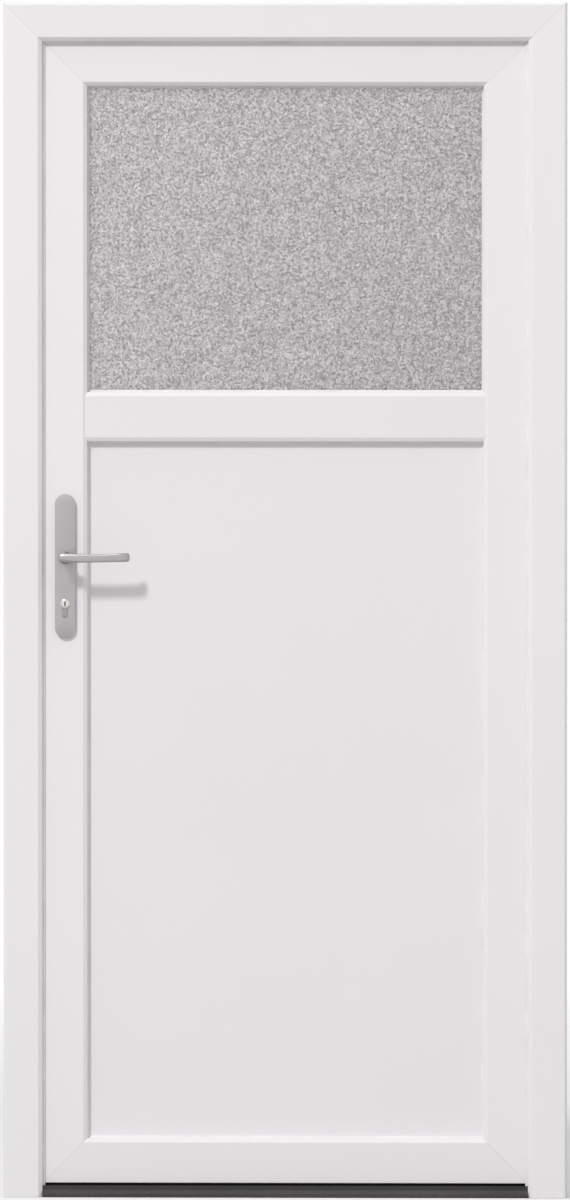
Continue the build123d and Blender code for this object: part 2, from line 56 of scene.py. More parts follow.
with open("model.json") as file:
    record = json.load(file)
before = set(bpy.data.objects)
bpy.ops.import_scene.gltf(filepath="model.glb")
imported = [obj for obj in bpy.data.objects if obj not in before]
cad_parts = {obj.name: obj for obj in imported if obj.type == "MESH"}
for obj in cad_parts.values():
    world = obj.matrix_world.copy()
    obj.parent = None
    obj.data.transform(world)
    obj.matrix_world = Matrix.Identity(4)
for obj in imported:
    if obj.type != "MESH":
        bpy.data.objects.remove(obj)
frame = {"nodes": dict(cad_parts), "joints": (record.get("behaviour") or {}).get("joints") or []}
cad_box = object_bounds()

PLATE_LOW, PLATE_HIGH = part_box("handle_plate_outer")
INNER_PLATE_LOW, INNER_PLATE_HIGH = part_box("handle_plate_inner")
CYLINDER_LOW, CYLINDER_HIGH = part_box("lock_cylinder")
JOINTS = {joint["name"]: joint["pos_m"] for joint in frame["joints"]}
SPINDLE_X, _, SPINDLE_Z = JOINTS["lever_turn"]
HINGE_X, HINGE_Y, _ = JOINTS["leaf_swing"]
HINGES = ("top", "middle", "bottom")

# Fixed sizes, in metres unless said otherwise

TOLERANCE = 1e-6
WELD_DISTANCE = 0.000005
SHARP_ANGLE = math.radians(32)
RING_POINTS = 36
LEAF_EDGE = 0.4305
WELD_ZONE = 0.34
# Heights between which the threshold's painted shade sets in
SHADE_STEP_LOW, SHADE_STEP_HIGH = 0.0115, 0.0135


# Settings that a user would change

class SideDoorFinish(bpy.types.PropertyGroup):
    """Colours and surface grain of the door's materials."""

    plastic: FloatVectorProperty(
        name="White plastic", description="Colour of the frame and leaf profiles",
        subtype="COLOR", size=3, min=0, max=1, default=(0.835, 0.812, 0.828))
    board: FloatVectorProperty(
        name="Panel", description="Colour of the flat lower panel",
        subtype="COLOR", size=3, min=0, max=1, default=(0.82, 0.79, 0.81))
    seal: FloatVectorProperty(
        name="Frame seal", description="Colour of the seal between frame and leaf",
        subtype="COLOR", size=3, min=0, max=1, default=(0.80, 0.775, 0.79))
    gasket: FloatVectorProperty(
        name="Glazing seals", description="Colour of the pale seals round the panes",
        subtype="COLOR", size=3, min=0, max=1, default=(0.80, 0.78, 0.79))
    glass: FloatVectorProperty(
        name="Obscure glass", description="Tint of the textured outer pane",
        subtype="COLOR", size=3, min=0, max=1, default=(0.665, 0.635, 0.655))
    glass_fleck: FloatProperty(
        name="Glass fleck", description="Width of the dimples in the obscure glass",
        unit="LENGTH", min=0.001, max=0.02, default=0.0037)
    sill: FloatVectorProperty(
        name="Threshold", description="Colour of the dark anodised threshold",
        subtype="COLOR", size=3, min=0, max=1, default=(0.062, 0.056, 0.060))
    handle: FloatVectorProperty(
        name="Handle", description="Colour of the satin plates and levers",
        subtype="COLOR", size=3, min=0, max=1, default=(0.45, 0.435, 0.445))


class SideDoorHandle(bpy.types.PropertyGroup):
    """Sizes of the levers, plates and lock cylinder."""

    root_height: FloatProperty(
        name="Grip at the neck", description="Height of the grip where it leaves the neck",
        unit="LENGTH", min=0.01, max=0.03, default=0.0164)
    grip_lift: FloatProperty(
        name="Grip lift", description="Rise of the grip's middle above the spindle",
        unit="LENGTH", min=0, max=0.004, default=0.0012)
    waist_height: FloatProperty(
        name="Grip at the waist", description="Height of the grip at its thinnest place",
        unit="LENGTH", min=0.01, max=0.03, default=0.0140)
    plate_trim: FloatProperty(
        name="Plate trim", description="How far the plate's long sides stand in from the solid's",
        unit="LENGTH", min=0, max=0.003, default=0.001)
    thickness: FloatProperty(
        name="Grip thickness", description="Depth of the grip, towards the door",
        unit="LENGTH", min=0.008, max=0.02, default=0.0128)
    plate_edge: FloatProperty(
        name="Plate edge", description="Radius of the plate's soft edge",
        unit="LENGTH", min=0.0005, max=0.004, default=0.0026)
    keyway: FloatProperty(
        name="Keyway width", description="Width of the slot for the key",
        unit="LENGTH", min=0.001, max=0.003, default=0.0024)


class SideDoorBrush(bpy.types.PropertyGroup):
    """The brush strip under the leaf."""

    pitch: FloatProperty(
        name="Tuft spacing", description="Distance between tufts of bristles",
        unit="LENGTH", min=0.001, max=0.01, default=0.0022)
    rows: IntProperty(name="Rows", description="Rows of tufts across the strip", min=1, max=4, default=3)


class SideDoorFixings(bpy.types.PropertyGroup):
    """Sizes of the screws and hinge caps."""

    plate_screw: FloatProperty(
        name="Plate screw", description="Radius of the screw heads in the plates of handle and lock",
        unit="LENGTH", min=0.001, max=0.006, default=0.0034)
    hinge_screw: FloatProperty(
        name="Hinge screw", description="Radius of the screw heads in the hinges",
        unit="LENGTH", min=0.001, max=0.008, default=0.0042)
    cap_height: FloatProperty(
        name="Hinge cap", description="Height of the caps over the hinge pins",
        unit="LENGTH", min=0.001, max=0.01, default=0.0034)


class SideDoorStage(bpy.types.PropertyGroup):
    """Camera and lamps."""

    azimuth: FloatProperty(
        name="Camera azimuth", description="Angle of the camera to the right of the front",
        subtype="ANGLE", default=math.radians(1.8))
    elevation: FloatProperty(
        name="Camera elevation", description="How far the camera looks down",
        subtype="ANGLE", default=math.radians(1.8))
    distance: FloatProperty(
        name="Camera distance", description="From the camera to the door's front",
        unit="LENGTH", default=30.0)
    view_height: FloatProperty(
        name="Height in view", description="Height of the picture at the door's front",
        unit="LENGTH", default=2.0874)
    key_power: FloatProperty(
        name="Key lamp", description="Power of the soft lamp at the upper left",
        unit="POWER", default=985.0)
    fill_light: FloatProperty(
        name="Room light", description="Strength of the soft light from all round",
        min=0, max=1, default=0.57)
    key_size: FloatProperty(
        name="Key lamp size", description="Width of the key lamp, which softens the shadows",
        unit="LENGTH", min=0.1, max=6, default=1.6)


# Shader building

class Nodes:
    """Adds and links the nodes of one material or node group."""

    def __init__(self, tree):
        self.tree = tree

    def link(self, source, target):
        self.tree.links.new(source, target)

    def put(self, socket, value):
        """Feeds an input from another socket, or gives it a plain value."""
        if hasattr(value, "is_output"):
            self.link(value, socket)
        else:
            socket.default_value = value

    def add(self, kind, **values):
        """A node of that kind, with its settings and its input values by name."""
        node = self.tree.nodes.new(kind)
        for name, value in values.items():
            if name.startswith("set_"):
                setattr(node, name[4:], value)
            else:
                self.put(node.inputs[name.replace("_", " ")], value)
        return node

    def math(self, operation, *values):
        """The result of one Math node on values or sockets."""
        node = self.add("ShaderNodeMath", set_operation=operation)
        for index, value in enumerate(values):
            self.put(node.inputs[index], value)
        return node.outputs[0]

    def spread(self, value, low, high, to_low, to_high):
        """A value moved from one range to another."""
        node = self.add("ShaderNodeMapRange", set_clamp=True, Value=value, From_Min=low, From_Max=high,
                        To_Min=to_low, To_Max=to_high)
        return node.outputs["Result"]

    def place(self):
        """The point on the object."""
        return self.add("ShaderNodeTexCoord").outputs["Object"]

    def tinted(self, color, tone):
        """A colour made lighter or darker by a tone near 1."""
        node = self.add("ShaderNodeVectorMath", set_operation="SCALE", Scale=tone)
        node.inputs[0].default_value = tuple(color)
        return node.outputs[0]

    def group(self, name, **values):
        """One of the shared node groups, with its own values."""
        return self.add("ShaderNodeGroup", set_node_tree=bpy.data.node_groups[name], **values)


def begin_group(name, inputs, outputs):
    """A new shader node group with named float or vector inputs, and its two end nodes."""
    tree = bpy.data.node_groups.new(name, "ShaderNodeTree")
    for label, default in inputs.items():
        kind = "NodeSocketVector" if isinstance(default, tuple) else "NodeSocketFloat"
        tree.interface.new_socket(label, in_out="INPUT", socket_type=kind).default_value = default
    for label in outputs:
        tree.interface.new_socket(label, in_out="OUTPUT", socket_type="NodeSocketFloat")
    return Nodes(tree), tree.nodes.new("NodeGroupInput"), tree.nodes.new("NodeGroupOutput")


def build_soft_tone():
    """Slow, faint changes of tone and gloss over a large surface."""
    nodes, start, end = begin_group("Soft tone", {"Size": 0.35, "Depth": 0.02}, ("Tone", "Mask"))
    scale = nodes.math("DIVIDE", 1.0, start.outputs["Size"])
    noise = nodes.add("ShaderNodeTexNoise", Vector=nodes.place(), Scale=scale, Detail=3.0,
                      Roughness=0.55).outputs["Fac"]
    low = nodes.math("SUBTRACT", 1.0, start.outputs["Depth"])
    high = nodes.math("ADD", 1.0, nodes.math("MULTIPLY", start.outputs["Depth"], 0.5))
    nodes.link(nodes.spread(noise, 0.3, 0.7, low, high), end.inputs["Tone"])
    nodes.link(nodes.spread(noise, 0.35, 0.65, 0.0, 1.0), end.inputs["Mask"])


def build_fine_grain():
    """The fine pebble of moulded or painted surfaces."""
    nodes, start, end = begin_group("Fine grain", {"Width": 0.001, "Detail": 2.0}, ("Height", "Mask"))
    scale = nodes.math("DIVIDE", 1.0, start.outputs["Width"])
    noise = nodes.add("ShaderNodeTexNoise", Vector=nodes.place(), Scale=scale, Roughness=0.5,
                      Detail=start.outputs["Detail"]).outputs["Fac"]
    nodes.link(noise, end.inputs["Height"])
    nodes.link(nodes.spread(noise, 0.4, 0.6, 0.0, 1.0), end.inputs["Mask"])


def build_drawn_lines():
    """Fine lines along one axis, as on extruded or brushed surfaces."""
    nodes, start, end = begin_group("Drawn lines", {"Stretch": (900.0, 900.0, 8.0)}, ("Height", "Mask"))
    stretched = nodes.add("ShaderNodeVectorMath", set_operation="MULTIPLY")
    nodes.link(nodes.place(), stretched.inputs[0])
    nodes.link(start.outputs["Stretch"], stretched.inputs[1])
    noise = nodes.add("ShaderNodeTexNoise", Vector=stretched.outputs[0], Scale=1.0, Detail=3.0,
                      Roughness=0.6).outputs["Fac"]
    nodes.link(noise, end.inputs["Height"])
    nodes.link(nodes.spread(noise, 0.35, 0.65, 0.0, 1.0), end.inputs["Mask"])


def build_corner_weld():
    """The thin welded line across the mitred corners of the frame and the leaf."""
    nodes, start, end = begin_group("Corner weld", {"Top": 1.59, "Bottom": 0.447, "Half width": 0.0005},
                                    ("Mask",))
    where = nodes.add("ShaderNodeSeparateXYZ", Vector=nodes.place())
    out, height = nodes.math("ABSOLUTE", where.outputs["X"]), where.outputs["Z"]
    top = nodes.math("ADD", nodes.math("SUBTRACT", out, height), start.outputs["Top"])
    bottom = nodes.math("SUBTRACT", nodes.math("ADD", out, height), start.outputs["Bottom"])
    on_frame = nodes.math("GREATER_THAN", out, LEAF_EDGE)
    bottom = nodes.math("ADD", nodes.math("ABSOLUTE", bottom), on_frame)
    near = nodes.math("MINIMUM", nodes.math("ABSOLUTE", top), bottom)
    wide = nodes.math("MULTIPLY", start.outputs["Half width"], 3.0)
    line = nodes.spread(near, start.outputs["Half width"], wide, 1.0, 0.0)
    at_corner = nodes.math("GREATER_THAN", out, WELD_ZONE)
    nodes.link(nodes.math("MULTIPLY", line, at_corner), end.inputs["Mask"])


def new_material(name):
    """The nodes and the Principled shader of a new material."""
    made = bpy.data.materials.new(name)
    made.use_nodes = True
    return Nodes(made.node_tree), made.node_tree.nodes["Principled BSDF"]


def settle(shader, **values):
    """Plain values on a shader's own sockets."""
    for name, value in values.items():
        shader.inputs[name.replace("_", " ")].default_value = value


def surface(nodes, shader, color, tone, mask, smooth, rough):
    """A base colour changed by a tone, and a roughness that runs between two values by a mask."""
    nodes.link(nodes.tinted(color, tone), shader.inputs["Base Color"])
    nodes.link(nodes.spread(mask, 0.0, 1.0, smooth, rough), shader.inputs["Roughness"])


def bump(nodes, shader, height, strength, depth):
    """A bump from a height, wired to the shader's normal."""
    node = nodes.add("ShaderNodeBump", Height=height, Strength=strength, Distance=depth)
    nodes.link(node.outputs["Normal"], shader.inputs["Normal"])


def plastic(name, color, stretch, tone, welded):
    """White satin profile plastic, with faint drawn lines along the bar, and a tone that can darken a
    copy as painted sheen.
    """
    nodes, shader = new_material(name)
    soft = nodes.group("Soft tone", Size=0.4, Depth=0.012)
    grain = nodes.group("Fine grain", Width=0.0011)
    lines = nodes.group("Drawn lines", Stretch=stretch)
    shade = nodes.math("MULTIPLY", soft.outputs["Tone"], tone)
    pebble = nodes.math("MULTIPLY", grain.outputs["Height"], 0.35)
    height = nodes.math("ADD", pebble, lines.outputs["Height"])
    if welded:
        weld = nodes.group("Corner weld").outputs["Mask"]
        shade = nodes.math("MULTIPLY", shade, nodes.spread(weld, 0.0, 1.0, 1.0, 0.88))
        height = nodes.math("SUBTRACT", height, nodes.math("MULTIPLY", weld, 2.0))
    nodes.link(nodes.tinted(color, shade), shader.inputs["Base Color"])
    rough = nodes.spread(lines.outputs["Mask"], 0.0, 1.0, 0.27, 0.33)
    rough = nodes.math("ADD", rough, nodes.math("MULTIPLY", soft.outputs["Mask"], 0.05))
    nodes.link(rough, shader.inputs["Roughness"])
    settle(shader, IOR=1.52, Specular_IOR_Level=0.45)
    bump(nodes, shader, height, 0.12, 0.0002)


def grained(name, color, soft, grain, rough, relief=None, dust=0.0, **plain):
    """A material with a slow change of tone and a fine grain in its gloss and relief."""
    nodes, shader = new_material(name)
    tone = nodes.group("Soft tone", Size=soft[0], Depth=soft[1]).outputs["Tone"]
    fine = nodes.group("Fine grain", Width=grain[0], Detail=grain[1]).outputs
    if dust:
        tone = nodes.math("ADD", tone, nodes.math("MULTIPLY", fine["Mask"], dust))
    surface(nodes, shader, color, tone, fine["Mask"], *rough)
    settle(shader, IOR=1.5, **plain)
    if relief:
        bump(nodes, shader, fine["Height"], *relief)


def rubber(name, color, dust):
    """Soft seal rubber with a matt grain and a little pale dust."""
    grained(name, color, (0.06, 0.09), (0.0007, 4.0), (0.58, 0.74), (0.3, 0.0002), dust,
            Specular_IOR_Level=0.3)


def moulded(name, color, rough):
    """Matt moulded plastic with a spark-eroded pebble."""
    grained(name, color, (0.08, 0.12), (0.0009, 3.0), rough, (0.35, 0.0002), Specular_IOR_Level=0.4)


def metal(name, color, stretch, smooth, rough, depth, strength=0.2):
    """Bare or plated metal with fine lines from drawing or brushing."""
    nodes, shader = new_material(name)
    lines = nodes.group("Drawn lines", Stretch=stretch)
    soft = nodes.group("Soft tone", Size=0.05, Depth=0.05)
    grain = nodes.group("Fine grain", Width=0.0012, Detail=3.0)
    drawn = nodes.spread(lines.outputs["Mask"], 0.0, 1.0, 0.97, 1.02)
    tone = nodes.math("MULTIPLY", soft.outputs["Tone"], drawn)
    nodes.link(nodes.tinted(color, tone), shader.inputs["Base Color"])
    dull = nodes.spread(lines.outputs["Mask"], 0.0, 1.0, smooth, rough)
    dull = nodes.math("ADD", dull, nodes.math("MULTIPLY", grain.outputs["Mask"], 0.03))
    nodes.link(dull, shader.inputs["Roughness"])
    settle(shader, Metallic=1.0)
    bump(nodes, shader, lines.outputs["Height"], strength, depth)


def anodised(color):
    """The threshold's dark anodised aluminium, with painted shade: darker on the upper band, which the
    leaf shades, and lighter on the nose below.
    """
    nodes, shader = new_material("threshold_anodised")
    lines = nodes.group("Drawn lines", Stretch=(6.0, 1400.0, 1400.0))
    soft = nodes.group("Soft tone", Size=0.16, Depth=0.16)
    grain = nodes.group("Fine grain", Width=0.0018, Detail=4.0)
    specks = nodes.spread(grain.outputs["Mask"], 0.0, 1.0, 0.94, 1.05)
    tone = nodes.math("MULTIPLY", soft.outputs["Tone"], specks)
    height = nodes.add("ShaderNodeSeparateXYZ", Vector=nodes.place()).outputs["Z"]
    # Painted shade and light by height: the band under the leaf darker, the nose below lighter
    tone = nodes.math("MULTIPLY", tone, nodes.spread(height, SHADE_STEP_LOW, SHADE_STEP_HIGH, 1.2, 0.42))
    surface(nodes, shader, color, tone, lines.outputs["Mask"], 0.34, 0.48)
    settle(shader, Metallic=0.5, IOR=1.5, Specular_IOR_Level=0.35)
    bump(nodes, shader, lines.outputs["Height"], 0.25, 0.0002)


def obscure_glass(color, fleck):
    """The outer pane: rolled glass with a close, worm-like dimple that blurs what is behind it."""
    nodes, shader = new_material("obscure_pane")
    where = nodes.place()
    worms = nodes.add("ShaderNodeTexNoise", Vector=where, Scale=1.0 / fleck, Detail=1.0, Roughness=0.5,
                      Distortion=0.35)
    broad = nodes.add("ShaderNodeTexNoise", Vector=where, Scale=0.2 / fleck, Detail=2.0, Roughness=0.5)
    height = nodes.spread(worms.outputs["Fac"], 0.36, 0.64, 0.0, 1.0)
    soft = nodes.group("Soft tone", Size=0.7, Depth=0.03)
    # Painted light: the pane is lighter to the upper left and darker to the lower right, standing in for
    # the blurred scene beyond it
    place = nodes.add("ShaderNodeSeparateXYZ", Vector=where)
    fall = nodes.math("SUBTRACT", nodes.math("MULTIPLY", place.outputs["Z"], 0.5), place.outputs["X"])
    painted_backlight = nodes.spread(fall, 0.35, 1.3, 0.93, 1.08)
    tone = nodes.math("MULTIPLY", soft.outputs["Tone"], nodes.spread(height, 0.0, 1.0, 0.42, 1.38))
    tone = nodes.math("MULTIPLY", tone, nodes.spread(broad.outputs["Fac"], 0.35, 0.65, 0.97, 1.03))
    surface(nodes, shader, color, nodes.math("MULTIPLY", tone, painted_backlight), height, 0.34, 0.5)
    settle(shader, Transmission_Weight=0.92, IOR=1.5, Specular_IOR_Level=0.4)
    bump(nodes, shader, height, 0.7, 0.0008)


def build_materials():
    """Makes the node groups and every material, under the names that the pieces ask for."""
    finish = bpy.context.scene.side_door_finish
    for build in (build_soft_tone, build_fine_grain, build_drawn_lines, build_corner_weld):
        build()
    upright, level = (900.0, 900.0, 7.0), (7.0, 900.0, 900.0)
    plastic("upright_plastic", finish.plastic, upright, 1.0, True)
    # Painted sheen: the level bars are a little darker than the upright ones, for their different
    # reflection
    plastic("level_plastic", finish.plastic, level, 0.975, True)
    plastic("bead_plastic", finish.plastic, upright, 0.99, False)
    # The board is a little duller than the profiles
    grained("panel_skin", finish.board, (0.5, 0.014), (0.0014, 3.0), (0.36, 0.44), (0.18, 0.00015),
            Specular_IOR_Level=0.42)
    rubber("grey_seal", finish.seal, 0.05)
    rubber("pale_seal", finish.gasket, 0.04)
    rubber("black_seal", (0.022, 0.021, 0.022), 0.5)
    moulded("black_moulding", (0.03, 0.028, 0.03), (0.45, 0.62))
    moulded("brush_fibre", (0.02, 0.019, 0.02), (0.5, 0.75))
    # A dark moulding for the painted shade in the screws' cross recesses
    moulded("keyway_dark", (0.035, 0.03, 0.028), (0.5, 0.7))
    anodised(finish.sill)
    metal("zinc_plate", (0.62, 0.63, 0.65), (500.0, 500.0, 18.0), 0.28, 0.42, 0.0001)
    metal("nickel_bolt", (0.66, 0.64, 0.61), (30.0, 700.0, 700.0), 0.2, 0.32, 0.0001)
    metal("nickel_lock", (0.74, 0.72, 0.70), (240.0, 240.0, 240.0), 0.16, 0.26, 0.00005)
    metal("satin_handle", finish.handle, (1600.0, 1600.0, 60.0), 0.34, 0.44, 0.00008, 0.12)
    metal("satin_grip", finish.handle, (60.0, 1600.0, 1600.0), 0.30, 0.40, 0.00008, 0.12)
    metal("spacer_bar", (0.55, 0.55, 0.56), (40.0, 700.0, 700.0), 0.35, 0.5, 0.0001)
    metal("satin_lobe", (0.36, 0.35, 0.355), (300.0, 300.0, 300.0), 0.36, 0.46, 0.00005)
    metal("bright_screw", (0.66, 0.66, 0.67), (260.0, 260.0, 260.0), 0.2, 0.32, 0.00005)
    # Powder paint with a faint orange peel
    grained("hinge_enamel", finish.plastic, (0.09, 0.03), (0.0016, 1.0), (0.24, 0.32), (0.25, 0.0003),
            Coat_Weight=0.15, Coat_Roughness=0.2)
    obscure_glass(finish.glass, finish.glass_fleck)
    # Float glass with a trace of dust
    grained("clear_pane", (0.93, 0.95, 0.94), (0.3, 0.01), (0.003, 4.0), (0.01, 0.05),
            Transmission_Weight=1.0)


NODE_FINISH = {
    "upright_plastic": ["frame_jamb_lock", "frame_jamb_hinge", "leaf_stile_lock", "leaf_stile_hinge"],
    "level_plastic": ["frame_head", "leaf_top_rail", "leaf_bottom_rail", "leaf_midrail"],
    "bead_plastic": [pane + "_bead_" + side for pane in ("glass", "panel")
                     for side in ("top", "bottom", "lock", "hinge")],
    "panel_skin": ["panel"],
    "grey_seal": ["frame_seal", "leaf_seal"],
    "pale_seal": ["glass_seal", "panel_seal"],
    "black_seal": ["bottom_seal"],
    "black_moulding": ["threshold_base", "threshold_ends"],
    "threshold_anodised": ["threshold"],
    "zinc_plate": ["strike_plate", "lock_faceplate", "spindle"],
    "nickel_bolt": ["lock_bolts"],
    "nickel_lock": ["lock_cylinder"],
    "satin_handle": ["handle_plate_outer", "handle_plate_inner"],
    "satin_grip": ["lever_outer", "lever_inner"],
    "spacer_bar": ["glass_spacer"],
    "hinge_enamel": ["hinge_" + place + "_" + part + "_part"
                     for place in HINGES for part in ("frame", "leaf")],
    "obscure_pane": ["glass_outer"],
    "clear_pane": ["glass_inner"],
}


# Mesh building. A fitting is drawn on a work plane and then turned to one side of the door.

OUTSIDE = Matrix(((1, 0, 0, 0), (0, 0, -1, 0), (0, 1, 0, 0), (0, 0, 0, 1)))
INSIDE = Matrix(((-1, 0, 0, 0), (0, 0, 1, 0), (0, 1, 0, 0), (0, 0, 0, 1)))
shift = Matrix.Translation


def add_object(name, data):
    """A new object in the scene."""
    made = bpy.data.objects.new(name, data)
    bpy.context.scene.collection.objects.link(made)
    return made


def add_mesh(name, work):
    """A new object with the mesh of a bmesh, which is freed."""
    mesh = bpy.data.meshes.new(name)
    work.to_mesh(mesh)
    work.free()
    return add_object(name, mesh)


def finish_piece(work, name, materials, body, stands_for=()):
    """Turns a bmesh into a piece of the door that rides on a body."""
    bmesh.ops.remove_doubles(work, verts=work.verts, dist=WELD_DISTANCE)
    bmesh.ops.recalc_face_normals(work, faces=work.faces)
    for face in work.faces:
        face.smooth = True
    for edge in work.edges:
        if len(edge.link_faces) == 2 and edge.calc_face_angle(0) > SHARP_ANGLE:
            edge.smooth = False
    piece = add_mesh(name, work)
    for material in materials:
        piece.data.materials.append(bpy.data.materials[material])
    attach(piece, body)
    if stands_for:
        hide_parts(*stands_for)


def edges_of(made):
    """The edges at the vertices that an operator made."""
    return list({edge for vert in made["verts"] for edge in vert.link_edges})


def soften(work, edges, radius, steps, clamp=False):
    """Rounds edges to a radius."""
    bmesh.ops.bevel(work, geom=edges, offset=radius, offset_type="OFFSET", affect="EDGES",
                    segments=steps, profile=0.5, material=-1, clamp_overlap=clamp)


def ring(work, place, along, tall, thick, fullness):
    """One ring of a grip, from a round section to one with flat sides, square to the way along."""
    made = bmesh.ops.create_circle(work, radius=1, segments=RING_POINTS)
    for vert in made["verts"]:
        vert.co.x = math.copysign(abs(vert.co.x) ** (2 / fullness), vert.co.x) * tall
        vert.co.y = math.copysign(abs(vert.co.y) ** (2 / fullness), vert.co.y) * thick
    along = along.normalized()
    up = (Vector((0, 0, 1)) - along * along.z).normalized()
    turn = Matrix((up, along.cross(up), along)).transposed().to_4x4()
    bmesh.ops.transform(work, matrix=shift(place) @ turn, verts=made["verts"])
    return edges_of(made)


def loft(work, stations):
    """A closed skin over a row of ring places."""
    rings = [ring(work, *station) for station in stations]
    for first, second in zip(rings, rings[1:]):
        bmesh.ops.bridge_loops(work, edges=first + second)
    for end in (rings[0], rings[-1]):
        bmesh.ops.contextual_create(work, geom=end)


def absorb(work, part):
    """Adds one bmesh to another and frees it."""
    mesh = bpy.data.meshes.new("part")
    part.to_mesh(mesh)
    part.free()
    work.from_mesh(mesh)
    bpy.data.meshes.remove(mesh)


def obround(work, width, length, count=48):
    """A flat loop with straight sides and round ends, upright on the work plane."""
    made = bmesh.ops.create_circle(work, radius=width / 2, segments=count,
                                   matrix=Matrix.Rotation(math.pi / count, 4, "Z"))
    lift = (length - width) / 2
    for vert in made["verts"]:
        vert.co.y += lift if vert.co.y > 0 else -lift


def lock_loop(work, height, foot, radius, narrow):
    """The loop of a round-nosed lock: a circle with a narrower lobe below it."""
    opening = math.asin(narrow / radius)
    corners = [work.verts.new((narrow, height - radius * math.cos(opening), 0)),
               work.verts.new((-narrow, foot, 0))]
    arcs = ((height, 2 * math.pi - 2 * opening, 30), (foot, math.pi, 15))
    for begin, end, (centre, angle, steps) in zip(corners, reversed(corners), arcs):
        made = bmesh.ops.spin(work, geom=[begin], cent=(0, centre, 0), axis=(0, 0, 1), angle=angle,
                              steps=steps)
        last = next(item for item in made["geom_last"] if isinstance(item, bmesh.types.BMVert))
        work.edges.new((last, end))


def is_wall(face):
    """Whether a face stands upright on the work plane."""
    heights = [vert.co.z for vert in face.verts]
    return max(heights) - min(heights) > TOLERANCE


def pull_out(work, depth, rim, steps=4):
    """Fills flat loops, pulls them out to a plate and rounds the plate's outer front rim."""
    bmesh.ops.triangle_fill(work, use_beauty=True, edges=work.edges[:])
    made = bmesh.ops.extrude_face_region(work, geom=work.faces[:])
    moved = [item for item in made["geom"] if isinstance(item, bmesh.types.BMVert)]
    bmesh.ops.translate(work, verts=moved, vec=(0, 0, depth))
    rims = {edge for edge in work.edges if all(vert.co.z > depth / 2 for vert in edge.verts)
            and any(is_wall(face) for face in edge.link_faces)}
    start = max(rims, key=lambda edge: edge.verts[0].co.length)
    chain, todo = {start}, [start]
    while todo:
        joined = {edge for vert in todo.pop().verts for edge in vert.link_edges if edge in rims} - chain
        chain |= joined
        todo.extend(joined)
    soften(work, list(chain), rim, steps, clamp=True)


def seat(work, side, x, depth, z):
    """Moves a fitting from the work plane to its place on one side of the door."""
    turn = OUTSIDE if side == "outside" else INSIDE
    bmesh.ops.transform(work, matrix=shift((x, depth, z)) @ turn, verts=work.verts)


# Handle plates and lock cylinder

NOSE_RADIUS, LOBE_RADIUS, LOCK_CLEARANCE = 0.0085, 0.005, 0.00015
COLLAR_HOLE = 0.0104
SHELL_LENGTH, SHELL_RIM = 0.04, 0.0009
PLUG_RADIUS, PLUG_GAP, PLUG_LENGTH, PLUG_RIM = 0.0066, 0.0002, 0.014, 0.0003
KEYWAY_HEIGHT = 0.009
CORE_RADIUS, CORE_OVERLAP = PLUG_RADIUS + 0.0001, 0.002
LOBE_TOP, LOBE_SUNK, LOBE_RIM = 0.0055, 0.0031, 0.0004


def build_plate(side):
    """A long handle plate with round ends, a soft rim and its holes for the lever and the lock."""
    low, high = (PLATE_LOW, PLATE_HIGH) if side == "outside" else (INNER_PLATE_LOW, INNER_PLATE_HIGH)
    sizes = bpy.context.scene.side_door_handle
    work = bmesh.new()
    middle = (low.z + high.z) / 2
    obround(work, high.x - low.x - 2 * sizes.plate_trim, high.z - low.z)
    collar = shift((0, SPINDLE_Z - middle, 0))
    bmesh.ops.create_circle(work, radius=COLLAR_HOLE, segments=40, matrix=collar)
    lock_loop(work, CYLINDER_HIGH.z - NOSE_RADIUS - middle, CYLINDER_LOW.z + LOBE_RADIUS - middle,
              NOSE_RADIUS + LOCK_CLEARANCE, LOBE_RADIUS + LOCK_CLEARANCE)
    pull_out(work, high.y - low.y, sizes.plate_edge)
    seat(work, side, (low.x + high.x) / 2, high.y if side == "outside" else low.y, middle)
    name, node = (("outer_long_plate", "handle_plate_outer") if side == "outside"
                  else ("inner_long_plate", "handle_plate_inner"))
    finish_piece(work, name, ["satin_handle"], "leaf", [node])


